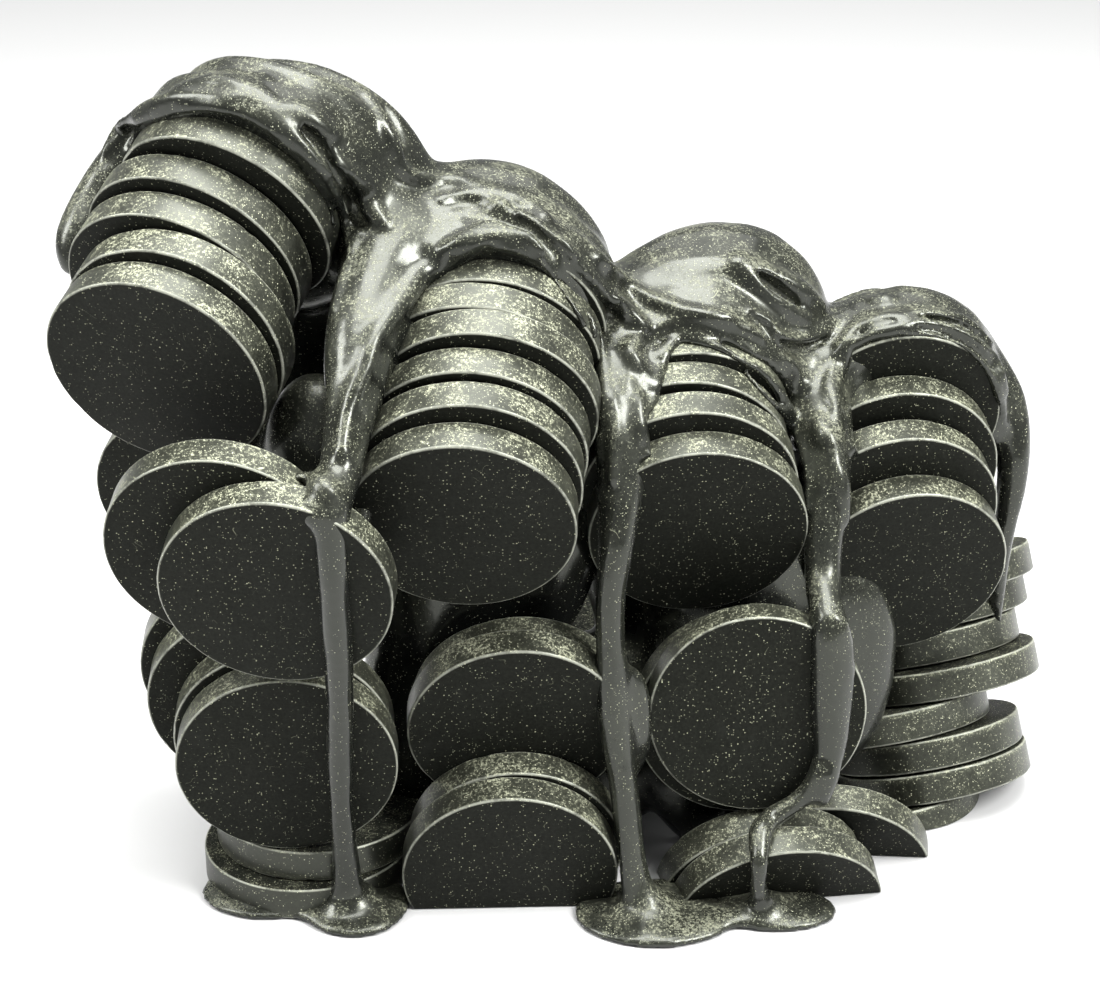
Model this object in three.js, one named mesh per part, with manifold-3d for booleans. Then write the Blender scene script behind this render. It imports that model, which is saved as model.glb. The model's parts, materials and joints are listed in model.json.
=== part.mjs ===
// Freeform sculpture built from identical ferrite disc magnets.
// The discs cling face to face in leaning, sheared columns, a hardened black
// pour locks the column tops together and runs down between them into small
// pools, and the whole base is ground flat.  Millimetres, +Z up, front is -Y.
import * as THREE from 'three';
import { mergeVertices } from 'three/addons/utils/BufferGeometryUtils.js';
import Module from 'manifold-3d';

const wasm = await Module();
wasm.setup();

// ---------------------------------------------------------------- dimensions
const DISC_DIAMETER = 25.4;          // one inch ferrite disc
const DISC_THICKNESS = 3.85;
const DISC_SIDES = 24;
const POUR_CLEARANCE = 0.3;          // between the pour and every disc
const POOL_HEIGHT = 1.7;
const DRIP_SIDES = 6;
const CENTRE_X = 4.4269;             // plan centre of the placed pieces
const CENTRE_Y = 19.3376;

const R = DISC_DIAMETER / 2;
const T = DISC_THICKNESS;
const DEG = Math.PI / 180;

// name, centre of the front face x y z, elevation and azimuth of the face
// normal in degrees (azimuth 0 looks out along -Y, positive turns to +X)
const DISCS = [
  ['column_a_disc_1', -42.62, 0.79, 66.14, -23.0, -17.0],
  ['column_a_disc_2', -40.92, 3.56, 68.91, -23.0, -17.0],
  ['column_a_disc_3', -41.27, 7.96, 72.25, -27.5, -19.5],
  ['column_a_disc_4', -39.52, 10.95, 75.83, -30.0, -22.0],
  ['column_a_disc_5', -36.08, 12.77, 80.19, -33.0, -25.0],
  ['column_a_disc_6', -34.00, 15.11, 82.85, -33.0, -25.0],
  ['column_b_disc_1', -9.67, -4.17, 50.21, -24.5, -2.5],
  ['column_b_disc_2', -9.01, -1.50, 53.86, -24.5, -2.5],
  ['column_b_disc_3', -8.42, 2.40, 56.60, -27.0, -5.0],
  ['column_b_disc_4', -7.25, 5.27, 60.15, -28.0, -6.0],
  ['column_b_disc_5', -7.99, 8.85, 62.06, -28.0, -6.0],
  ['column_b_disc_6', -6.94, 12.17, 64.08, -28.0, -6.0],
  ['column_b_disc_7', -6.23, 15.06, 67.01, -28.0, -6.0],
  ['column_c_disc_1', 17.07, 8.43, 44.25, -22.0, 3.0],
  ['column_c_disc_2', 16.14, 11.10, 48.10, -22.0, 3.0],
  ['column_c_disc_3', 15.43, 14.71, 50.32, -21.0, 3.0],
  ['column_c_disc_4', 15.96, 18.09, 52.67, -21.0, 3.0],
  ['column_c_disc_5', 16.38, 21.50, 54.94, -21.0, 3.0],
  ['column_c_disc_6', 16.19, 25.13, 56.55, -21.0, 3.0],
  ['column_d_disc_1', 43.13, 19.53, 34.36, -19.0, 8.0],
  ['column_d_disc_2', 41.91, 21.41, 40.66, -19.0, 8.0],
  ['column_d_disc_3', 42.08, 24.69, 45.02, -18.0, 6.0],
  ['column_d_disc_4', 42.32, 26.84, 51.37, -18.0, 6.0],
  ['column_d_disc_5', 42.21, 30.75, 52.22, -18.0, 6.0],
  ['column_d_disc_6', 42.16, 35.04, 51.92, -18.0, 6.0],
  ['tier_e_disc_1', -29.26, -11.36, 45.60, -17.5, -4.0],
  ['tier_e_disc_2', -35.43, -7.79, 48.90, -17.5, -4.0],
  ['tier_m_disc_1', -42.92, 22.90, 42.70, -17.5, -10.0],
  ['tier_m_disc_2', -41.24, 26.63, 43.32, -17.5, -10.0],
  ['tier_f_disc_1', -30.08, -3.08, 20.20, -12.4, 2.9],
  ['tier_f_disc_2', -30.77, 0.60, 21.83, -12.4, 2.9],
  ['tier_f_disc_3', -34.14, 3.84, 24.83, -12.4, 2.9],
  ['tier_f_disc_4', -35.31, 7.23, 27.64, -12.4, 2.9],
  ['tier_g_disc_1', -3.89, 1.89, 22.15, -17.0, 3.0],
  ['tier_g_disc_2', -3.51, 6.18, 21.78, -17.0, 3.0],
  ['tier_h_disc_1', 24.15, 2.57, 23.94, -1.0, 1.5],
  ['tier_h_disc_2', 22.85, 6.55, 21.40, -1.0, 1.5],
  ['tier_i_disc_1', -4.68, -1.76, 4.80, -14.3, 2.0],
  ['tier_i_disc_2', -4.01, 2.07, 5.98, -14.3, 2.0],
  ['tier_k_disc_1', 27.58, 2.20, -2.71, -24.0, 8.0],
  ['tier_k_disc_2', 26.02, 6.10, -2.10, -24.0, 8.0],
  ['tier_l_disc_1', 34.70, 12.90, -3.11, -24.0, -4.0],
  ['base_disc_1', -29.50, 9.50, 3.85, 90.0, 0.0],
  ['base_disc_2', -28.20, 11.40, 7.82, 90.0, 0.0],
  ['stack_j_disc_1', 44.57, 28.16, -5.60, -68.0, 33.0],
  ['stack_j_disc_2', 50.82, 30.21, -0.39, -68.0, 33.0],
  ['stack_j_disc_3', 49.72, 31.50, 3.46, -68.0, 33.0],
  ['stack_j_disc_4', 45.36, 32.46, 6.71, -68.0, 33.0],
  ['stack_j_disc_5', 51.85, 34.54, 11.96, -68.0, 33.0],
  ['stack_j_disc_6', 50.00, 39.24, 14.49, -68.0, 33.0],
  ['stack_j_disc_7', 51.29, 41.94, 18.39, -68.0, 33.0],
  ['stack_j_disc_8', 51.60, 41.60, 22.95, -68.0, 33.0],
  ['stack_r_disc_1', 4.00, 32.00, 1.20, -76.0, 180.0],
  ['stack_r_disc_2', 2.80, 31.52, 5.17, -76.0, 180.0],
  ['stack_r_disc_3', 4.80, 31.24, 9.19, -76.0, 180.0],
  ['stack_r_disc_4', 3.40, 29.51, 12.85, -76.0, 180.0],
  ['stack_r_disc_5', 2.20, 29.13, 16.85, -76.0, 180.0],
];

// ---------------------------------------------------------------- helpers
const BLACK_FERRITE = 0x1b1c1b;
const BLACK_POUR = 0x0d0e0e;

function ferrite() {
  return new THREE.MeshStandardMaterial({ color: BLACK_FERRITE, roughness: 0.55, metalness: 0.0 });
}

function normalOf(el, az) {
  return new THREE.Vector3(
    Math.sin(az * DEG) * Math.cos(el * DEG),
    -Math.cos(az * DEG) * Math.cos(el * DEG),
    Math.sin(el * DEG));
}

// local +Z is the face normal, local +X stays level
function placement(row) {
  const [, x, y, z, el, az] = row;
  const n = normalOf(el, az);
  const right = new THREE.Vector3(0, 0, 1).cross(n);
  if (right.length() < 1e-3) right.set(1, 0, 0);
  right.normalize();
  const up = n.clone().cross(right);
  return new THREE.Matrix4().makeBasis(right, up, n).setPosition(x, y, z);
}

// turned solid standing on local Z from a list of [radius, z] points, low to high
function turned(profile, sides) {
  const g = new THREE.LatheGeometry(profile.map(([r, z]) => new THREE.Vector2(r, z)), sides);
  g.rotateX(Math.PI / 2);
  return g;
}

function discGeometry(grow = 0) {
  const r = (R + grow / Math.cos(Math.PI / DISC_SIDES));
  return turned([[0, -T - grow], [r, -T - grow], [r, grow], [0, grow]], DISC_SIDES);
}

function solid(geometry, matrix) {
  let g = geometry.clone();
  if (matrix) g.applyMatrix4(matrix);
  g.deleteAttribute('normal');
  g.deleteAttribute('uv');
  g = mergeVertices(g, 1e-5);
  const mesh = new wasm.Mesh({
    numProp: 3,
    vertProperties: Float32Array.from(g.attributes.position.array),
    triVerts: Uint32Array.from(g.index.array),
  });
  mesh.merge();
  return new wasm.Manifold(mesh);
}

// the piece with the most triangles of a cut solid, as a geometry
function geometryOf(manifold) {
  const m = manifold.getMesh();
  const count = m.vertProperties.length / m.numProp;
  const parent = new Int32Array(count).map((_, i) => i);
  const root = (i) => { while (parent[i] !== i) { parent[i] = parent[parent[i]]; i = parent[i]; } return i; };
  for (let i = 0; i < m.triVerts.length; i += 3) {
    const a = root(m.triVerts[i]);
    parent[root(m.triVerts[i + 1])] = a;
    parent[root(m.triVerts[i + 2])] = root(a);
  }
  const tally = new Map();
  for (let i = 0; i < m.triVerts.length; i += 3) {
    const r = root(m.triVerts[i]);
    tally.set(r, (tally.get(r) || 0) + 1);
  }
  const best = [...tally.entries()].sort((p, q) => q[1] - p[1])[0][0];
  const index = [];
  for (let i = 0; i < m.triVerts.length; i += 3) {
    if (root(m.triVerts[i]) === best) index.push(m.triVerts[i], m.triVerts[i + 1], m.triVerts[i + 2]);
  }
  const pos = new Float32Array(count * 3);
  for (let i = 0; i < count; i++) for (let k = 0; k < 3; k++) pos[i * 3 + k] = m.vertProperties[i * m.numProp + k];
  const g = new THREE.BufferGeometry();
  g.setAttribute('position', new THREE.BufferAttribute(pos, 3));
  g.setIndex(index);
  const out = g.toNonIndexed();
  out.computeVertexNormals();
  return out;
}

const sculpture = new THREE.Group();
sculpture.name = 'disc_sculpture';
const placed = new THREE.Group();
placed.position.set(-CENTRE_X, -CENTRE_Y, 0);
sculpture.add(placed);

// everything under the bench line is ground away
const ground = solid(new THREE.BoxGeometry(400, 400, 100), new THREE.Matrix4().makeTranslation(0, 0, -50));

// ---------------------------------------------------------------- discs
for (const row of DISCS) {
  const matrix = placement(row);
  const [, , , z, el] = row;
  const lowest = z - R * Math.cos(el * DEG) - T * Math.max(0, Math.sin(el * DEG));
  let mesh;
  if (lowest < -1e-6) {
    const cut = solid(discGeometry(), matrix).subtract(ground);
    mesh = new THREE.Mesh(geometryOf(cut), ferrite());
  } else {
    mesh = new THREE.Mesh(discGeometry(), ferrite());
    mesh.position.setFromMatrixPosition(matrix);
    mesh.quaternion.setFromRotationMatrix(matrix);
  }
  mesh.name = row[0];
  placed.add(mesh);
}

// ---------------------------------------------------------------- black pour
const rowOf = (name) => DISCS.find((r) => r[0] === name);

// half sleeve wrapped over the top of a column, from its front lip backwards
function sleeve(name, radius, lip, back, below) {
  const matrix = placement(rowOf(name));
  const body = turned([[0, -back], [radius - 5, -back], [radius - 1.4, -back + 4], [radius, -back + 8],
    [radius, lip - 1.2], [radius - 1.2, lip], [0, lip]], 16);
  const keep = new THREE.BoxGeometry(60, 40, 80);
  keep.translate(0, 20 - below, 0);
  return solid(body, matrix).intersect(solid(keep, matrix));
}

function lump(x, y, z, rx, ry, rz, w = 12, h = 6) {
  const g = new THREE.SphereGeometry(1, w, h);
  g.rotateX(Math.PI / 2);
  g.scale(rx, ry, rz);
  g.translate(x, y, z);
  return solid(g);
}

function drip(points, radius, steps) {
  const path = new THREE.CatmullRomCurve3(points.map((p) => new THREE.Vector3(...p)), false, 'centripetal');
  const shape = new THREE.Shape();
  for (let i = 0; i < DRIP_SIDES; i++) {
    const a = (i / DRIP_SIDES) * Math.PI * 2;
    if (i === 0) shape.moveTo(radius * Math.cos(a), radius * Math.sin(a));
    else shape.lineTo(radius * Math.cos(a), radius * Math.sin(a));
  }
  shape.closePath();
  return solid(new THREE.ExtrudeGeometry(shape, { steps, bevelEnabled: false, extrudePath: path }));
}

const pieces = [
  // mantle over the four leaning columns
  sleeve('column_a_disc_5', 15.4, 0.9, 15.5, 4),
  sleeve('column_b_disc_6', 15.2, 0.9, 16.0, 4),
  sleeve('column_c_disc_4', 14.8, 0.9, 20.0, 4),
  sleeve('column_d_disc_4', 15.0, 0.9, 20.0, 4),
  lump(-33, 20, 83, 14.5, 10, 13.8),
  lump(-6, 22, 71, 14.5, 9, 13.6),
  lump(19, 30.5, 62, 14.5, 9, 13),
  lump(45, 37, 52.5, 13.8, 9, 12.4),
  // saddles between neighbouring columns
  lump(-18.5, 18, 77, 8, 9, 10),
  lump(6.5, 21, 65.5, 7.5, 9, 9.5),
  lump(31.5, 29, 57, 7.5, 9, 9.5),
  // fill that seeped down inside between the stacks
  lump(-9, 14, 42, 15, 6.5, 19, 12, 6),
  lump(18, 21, 36, 14, 6.5, 18, 12, 6),
  lump(-34, 15.5, 44, 9, 6, 17, 10, 6),
  // rear skirt
  lump(-28, 29, 66, 9, 4, 14, 12, 6),
  lump(-4, 30, 56, 11, 4, 16, 12, 6),
  lump(20, 38, 48, 11, 4, 15, 12, 6),
  lump(43, 44, 43, 9, 4, 13, 12, 6),
  // front runs
  drip([[-17, 14, 81], [-20, 6, 74], [-21.8, -3.7, 65], [-22.2, -9.7, 59], [-22.6, -15.6, 54.5], [-22.6, -13.4, 46],
    [-22.8, -10.4, 36], [-23.4, -7.2, 28], [-23.7, -5.2, 20], [-23.8, -3.0, 10], [-23.6, -1.2, 0.6]], 1.9, 15),
  drip([[7, 20, 68], [7.4, 12, 65], [7.8, 4.8, 58], [7.0, 2.4, 48], [6.7, 2.2, 38.5], [7.4, 0.8, 22.4],
    [8.6, -1.2, 13.9], [9.6, -1.8, 7], [11.5, -2, 0.6]], 1.9, 12),
  drip([[31.5, 27, 62], [32, 19, 58], [32, 13, 52], [31.6, 8, 40], [31.6, 0.6, 33.5], [31.8, 0.2, 26], [31.4, 0.2, 18],
    [29, 0.2, 13], [24.8, -1.6, 11.2], [24.3, -5.2, 8], [24.6, -3.6, 4], [25.6, -2.0, 0.6]], 1.7, 18),
  lump(32.6, 1.4, 25, 3.6, 1.7, 9, 12, 6),
  drip([[52, 37, 58], [57.4, 33, 51], [57.8, 31, 44], [56.8, 30.5, 36], [57.6, 30.5, 30]], 1.8, 7),
  // rear runs
  drip([[-19, 27, 68], [-18, 31.5, 56], [-17.4, 31.8, 40], [-17.6, 31, 20], [-17.2, 30.5, 0.6]], 1.8, 7),
  drip([[26, 38, 50], [24.6, 40.5, 40], [24.4, 40.2, 24], [24.8, 39.6, 0.6]], 1.7, 6),
  // pools on the bench
  lump(-23.2, -0.4, 0, 6.7, 6.9, POOL_HEIGHT, 16, 6),
  lump(12.4, -2.1, 0, 9.9, 7.2, POOL_HEIGHT, 16, 6),
  lump(27.0, -1.6, 0, 7.0, 4.6, POOL_HEIGHT * 0.8, 14, 6),
  lump(-33.5, 2.5, 0, 8.5, 6.0, POOL_HEIGHT * 0.8, 14, 6),
  lump(-17.2, 30.5, 0, 6.0, 5.4, POOL_HEIGHT, 14, 6),
  lump(24.8, 39.6, 0, 6.4, 5.2, POOL_HEIGHT, 14, 6),
];

let pour = pieces[0];
for (const piece of pieces.slice(1)) pour = pour.add(piece);
pour = pour.subtract(ground);
for (const row of DISCS) pour = pour.subtract(solid(discGeometry(POUR_CLEARANCE), placement(row)));

const pourMesh = new THREE.Mesh(geometryOf(pour),
  new THREE.MeshStandardMaterial({ color: BLACK_POUR, roughness: 0.22, metalness: 0.0 }));
pourMesh.name = 'poured_coating';
placed.add(pourMesh);

export default sculpture;
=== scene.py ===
import bpy, bmesh, math, json
import numpy as np
from mathutils import Matrix, Vector


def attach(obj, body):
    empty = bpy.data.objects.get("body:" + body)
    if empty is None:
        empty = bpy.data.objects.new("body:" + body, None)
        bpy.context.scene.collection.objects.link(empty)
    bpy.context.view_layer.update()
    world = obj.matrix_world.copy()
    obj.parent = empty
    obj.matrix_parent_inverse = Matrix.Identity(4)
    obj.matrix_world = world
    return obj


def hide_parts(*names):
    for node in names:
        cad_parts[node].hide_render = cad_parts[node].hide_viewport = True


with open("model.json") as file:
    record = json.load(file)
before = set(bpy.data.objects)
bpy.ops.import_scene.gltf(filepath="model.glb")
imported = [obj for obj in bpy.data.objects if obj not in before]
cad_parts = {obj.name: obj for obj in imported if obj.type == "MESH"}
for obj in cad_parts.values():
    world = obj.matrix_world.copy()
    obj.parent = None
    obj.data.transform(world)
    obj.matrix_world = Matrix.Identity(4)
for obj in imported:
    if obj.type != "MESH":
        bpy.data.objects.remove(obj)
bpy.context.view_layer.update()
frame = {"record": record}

MM = 0.001
CX, CY = 4.4269, 19.3376          # plan centre of the placed pieces, mm
R, T = 12.7, 3.85
CAM = (0.0, -220.0, 140.9)
CAM_PITCH = 22.0
FOCAL_PX = 2155.0

# name, centre of the front face x y z (mm, before centring), elevation and azimuth of the normal
DISCS = [
    ("column_a_disc_1", -42.62, 0.79, 66.14, -23.0, -17.0),
    ("column_a_disc_2", -40.92, 3.56, 68.91, -23.0, -17.0),
    ("column_a_disc_3", -41.27, 7.96, 72.25, -27.5, -19.5),
    ("column_a_disc_4", -39.52, 10.95, 75.83, -30.0, -22.0),
    ("column_a_disc_5", -36.08, 12.77, 80.19, -33.0, -25.0),
    ("column_a_disc_6", -34.00, 15.11, 82.85, -33.0, -25.0),
    ("column_b_disc_1", -9.67, -4.17, 50.21, -24.5, -2.5),
    ("column_b_disc_2", -9.01, -1.50, 53.86, -24.5, -2.5),
    ("column_b_disc_3", -8.42, 2.40, 56.60, -27.0, -5.0),
    ("column_b_disc_4", -7.25, 5.27, 60.15, -28.0, -6.0),
    ("column_b_disc_5", -7.99, 8.85, 62.06, -28.0, -6.0),
    ("column_b_disc_6", -6.94, 12.17, 64.08, -28.0, -6.0),
    ("column_b_disc_7", -6.23, 15.06, 67.01, -28.0, -6.0),
    ("column_c_disc_1", 17.07, 8.43, 44.25, -22.0, 3.0),
    ("column_c_disc_2", 16.14, 11.10, 48.10, -22.0, 3.0),
    ("column_c_disc_3", 15.43, 14.71, 50.32, -21.0, 3.0),
    ("column_c_disc_4", 15.96, 18.09, 52.67, -21.0, 3.0),
    ("column_c_disc_5", 16.38, 21.50, 54.94, -21.0, 3.0),
    ("column_c_disc_6", 16.19, 25.13, 56.55, -21.0, 3.0),
    ("column_d_disc_1", 43.13, 19.53, 34.36, -19.0, 8.0),
    ("column_d_disc_2", 41.91, 21.41, 40.66, -19.0, 8.0),
    ("column_d_disc_3", 42.08, 24.69, 45.02, -18.0, 6.0),
    ("column_d_disc_4", 42.32, 26.84, 51.37, -18.0, 6.0),
    ("column_d_disc_5", 42.21, 30.75, 52.22, -18.0, 6.0),
    ("column_d_disc_6", 42.16, 35.04, 51.92, -18.0, 6.0),
    ("tier_e_disc_1", -29.26, -11.36, 45.60, -17.5, -4.0),
    ("tier_e_disc_2", -35.43, -7.79, 48.90, -17.5, -4.0),
    ("tier_m_disc_1", -42.92, 22.90, 42.70, -17.5, -10.0),
    ("tier_m_disc_2", -41.24, 26.63, 43.32, -17.5, -10.0),
    ("tier_f_disc_1", -30.08, -3.08, 20.20, -12.4, 2.9),
    ("tier_f_disc_2", -30.77, 0.60, 21.83, -12.4, 2.9),
    ("tier_f_disc_3", -34.14, 3.84, 24.83, -12.4, 2.9),
    ("tier_f_disc_4", -35.31, 7.23, 27.64, -12.4, 2.9),
    ("tier_g_disc_1", -3.89, 1.89, 22.15, -17.0, 3.0),
    ("tier_g_disc_2", -3.51, 6.18, 21.78, -17.0, 3.0),
    ("tier_h_disc_1", 24.15, 2.57, 23.94, -1.0, 1.5),
    ("tier_h_disc_2", 22.85, 6.55, 21.40, -1.0, 1.5),
    ("tier_i_disc_1", -4.68, -1.76, 4.80, -14.3, 2.0),
    ("tier_i_disc_2", -4.01, 2.07, 5.98, -14.3, 2.0),
    ("tier_k_disc_1", 27.58, 2.20, -2.71, -24.0, 8.0),
    ("tier_k_disc_2", 26.02, 6.10, -2.10, -24.0, 8.0),
    ("tier_l_disc_1", 34.70, 12.90, -3.11, -24.0, -4.0),
    ("base_disc_1", -29.50, 9.50, 3.85, 90.0, 0.0),
    ("base_disc_2", -28.20, 11.40, 7.82, 90.0, 0.0),
    ("stack_j_disc_1", 44.57, 28.16, -5.60, -68.0, 33.0),
    ("stack_j_disc_2", 50.82, 30.21, -0.39, -68.0, 33.0),
    ("stack_j_disc_3", 49.72, 31.50, 3.46, -68.0, 33.0),
    ("stack_j_disc_4", 45.36, 32.46, 6.71, -68.0, 33.0),
    ("stack_j_disc_5", 51.85, 34.54, 11.96, -68.0, 33.0),
    ("stack_j_disc_6", 50.00, 39.24, 14.49, -68.0, 33.0),
    ("stack_j_disc_7", 51.29, 41.94, 18.39, -68.0, 33.0),
    ("stack_j_disc_8", 51.60, 41.60, 22.95, -68.0, 33.0),
    ("stack_r_disc_1", 4.00, 32.00, 1.20, -76.0, 180.0),
    ("stack_r_disc_2", 2.80, 31.52, 5.17, -76.0, 180.0),
    ("stack_r_disc_3", 4.80, 31.24, 9.19, -76.0, 180.0),
    ("stack_r_disc_4", 3.40, 29.51, 12.85, -76.0, 180.0),
    ("stack_r_disc_5", 2.20, 29.13, 16.85, -76.0, 180.0),
]
BY = {d[0]: d for d in DISCS}
BODY = {}
for bname, nodes in frame["record"]["behaviour"]["bodies"].items():
    for nd in nodes:
        BODY[nd] = bname

# ------------------------------------------------------------------ camera
cam_data = bpy.data.cameras.new("photo_camera")
cam = bpy.data.objects.new("photo_camera", cam_data)
bpy.context.scene.collection.objects.link(cam)
cam_data.sensor_fit = 'HORIZONTAL'
cam_data.sensor_width = 36.0
cam_data.lens = FOCAL_PX / 1100.0 * 36.0
cam_data.clip_start = 0.005
cam_data.clip_end = 20.0
cam.location = ((CAM[0] - CX) * MM, (CAM[1] - CY) * MM, CAM[2] * MM)
cam.rotation_euler = (math.radians(90.0 - CAM_PITCH), 0.0, 0.0)
bpy.context.scene.camera = cam


def n_of(el, az):
    el, az = math.radians(el), math.radians(az)
    return np.array([math.sin(az) * math.cos(el), -math.cos(az) * math.cos(el), math.sin(el)])


def basis(row):
    n = n_of(row[4], row[5])
    a = np.cross([0.0, 0.0, 1.0], n)
    if np.linalg.norm(a) < 1e-3:
        a = np.array([1.0, 0.0, 0.0])
    a = a / np.linalg.norm(a)
    b = np.cross(n, a)
    return a, b, n


# ------------------------------------------------------------------ node helpers
class NT:
    def __init__(self, mat):
        mat.use_nodes = True
        self.t = mat.node_tree
        self.t.nodes.clear()
        self.x = 0

    def n(self, kind, **kw):
        nd = self.t.nodes.new(kind)
        self.x += 40
        nd.location = (self.x, 0)
        for k, v in kw.items():
            setattr(nd, k, v)
        return nd

    def link(self, a, b):
        self.t.links.new(a, b)

    def math(self, op, a, b=None, clamp=False):
        nd = self.n('ShaderNodeMath', operation=op, use_clamp=clamp)
        for i, v in enumerate((a, b)):
            if v is None:
                continue
            if isinstance(v, (int, float)):
                nd.inputs[i].default_value = v
            else:
                self.link(v, nd.inputs[i])
        return nd.outputs[0]

    def ramp(self, fac, lo, hi, a=0.0, b=1.0, smooth=True):
        nd = self.n('ShaderNodeMapRange')
        nd.interpolation_type = 'SMOOTHSTEP' if smooth else 'LINEAR'
        nd.clamp = True
        self.link(fac, nd.inputs['Value'])
        nd.inputs['From Min'].default_value = lo
        nd.inputs['From Max'].default_value = hi
        nd.inputs['To Min'].default_value = a
        nd.inputs['To Max'].default_value = b
        return nd.outputs['Result']

    def noise(self, vec, scale, detail=3.0, rough=0.55, dist=0.0):
        nd = self.n('ShaderNodeTexNoise')
        nd.inputs['Scale'].default_value = scale
        nd.inputs['Detail'].default_value = detail
        nd.inputs['Roughness'].default_value = rough
        nd.inputs['Distortion'].default_value = dist
        self.link(vec, nd.inputs['Vector'])
        return nd.outputs['Fac']

    def mixc(self, fac, a, b):
        nd = self.n('ShaderNodeMix', data_type='RGBA')
        if isinstance(fac, (int, float)):
            nd.inputs[0].default_value = fac
        else:
            self.link(fac, nd.inputs[0])
        for sock, v in ((nd.inputs[6], a), (nd.inputs[7], b)):
            if isinstance(v, (tuple, list)):
                sock.default_value = (*v, 1.0)
            else:
                self.link(v, sock)
        return nd.outputs[2]


DUST = (0.60, 0.615, 0.43)
DUST_DARK = (0.205, 0.215, 0.150)


def dust_masks(nt, pos, nz, crease):
    """film: soft powder, grains: separate specks and hairs, both thicker on upward and sheltered surfaces"""
    patch = nt.noise(pos, 240.0, 4.0, 0.62)
    grain = nt.noise(pos, 7500.0, 2.0, 0.8)
    grain2 = nt.noise(pos, 2600.0, 3.0, 0.8)
    up = nt.ramp(nz, -0.25, 0.80)
    load = nt.math('MULTIPLY', up, nt.ramp(patch, 0.28, 0.66, 0.30, 1.0))
    load = nt.math('MAXIMUM', load, nt.math('MULTIPLY', crease, nt.ramp(nz, -0.7, 0.4, 0.25, 1.0)))
    # powder: dense fine grains that thin out where little settles
    lim = nt.ramp(load, 0.0, 1.0, 0.74, 0.47, smooth=False)
    film = nt.math('MULTIPLY', nt.math('SUBTRACT', grain2, lim), 7.0, clamp=True)
    film = nt.math('MULTIPLY', film, nt.ramp(grain, 0.30, 0.62, 0.25, 1.0))
    haze = nt.math('MULTIPLY', load, nt.ramp(grain2, 0.3, 0.7, 0.35, 1.0))

    def flecks(scale, dens0, dens1, r0, r1, sharp):
        vor = nt.n('ShaderNodeTexVoronoi', feature='F1')
        vor.inputs['Scale'].default_value = scale
        vor.inputs['Randomness'].default_value = 1.0
        nt.link(pos, vor.inputs['Vector'])
        sep = nt.n('ShaderNodeSeparateColor')
        nt.link(vor.outputs['Color'], sep.inputs[0])
        dens = nt.ramp(load, 0.0, 1.0, dens0, dens1, smooth=False)
        chance = nt.math('LESS_THAN', sep.outputs[0], dens)
        size = nt.ramp(sep.outputs[1], 0.0, 1.0, r0, r1, smooth=False)
        dot = nt.math('SUBTRACT', size, vor.outputs['Distance'])
        dot = nt.math('MULTIPLY', dot, sharp, clamp=True)
        dot = nt.math('MULTIPLY', dot, chance)
        return nt.math('MULTIPLY', dot, nt.ramp(sep.outputs[2], 0.0, 1.0, 0.22, 1.0, smooth=False))

    g1 = flecks(5200.0, 0.115, 0.46, 0.18, 0.46, 8.0)
    g2 = flecks(2600.0, 0.045, 0.18, 0.09, 0.24, 12.0)
    g3 = flecks(640.0, 0.032, 0.060, 0.032, 0.075, 30.0)
    grains = nt.math('MAXIMUM', nt.math('MAXIMUM', g1, g2), g3)
    # hairs: thin isolines of a soft noise, kept only in a few places
    for (sc, level, gsc, seedv, lo) in ((240.0, 0.5, 420.0, 0.6, 0.66), (320.0, 0.47, 380.0, 0.9, 0.665),
                                        (400.0, 0.52, 460.0, 1.3, 0.66)):
        warp = nt.noise(pos, sc, 1.0, 0.4, seedv)
        line = nt.math('ABSOLUTE', nt.math('SUBTRACT', warp, level))
        line = nt.ramp(line, 0.0, 0.0032, 1.0, 0.0)
        gate = nt.ramp(nt.noise(pos, gsc, 1.0, 0.5), lo, lo + 0.05)
        fib = nt.math('MULTIPLY', line, gate)
        fib = nt.math('MULTIPLY', fib, nt.ramp(load, 0.0, 0.8, 0.30, 0.85))
        grains = nt.math('MAXIMUM', grains, fib)
    return film, haze, grains, patch, grain2


def geometry_inputs(nt, attr=None):
    tc = nt.n('ShaderNodeTexCoord')
    geo = nt.n('ShaderNodeNewGeometry')
    sep = nt.n('ShaderNodeSeparateXYZ')
    nt.link(geo.outputs['Normal'], sep.inputs[0])
    return tc.outputs['Object'], sep.outputs['Z'], geo


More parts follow.
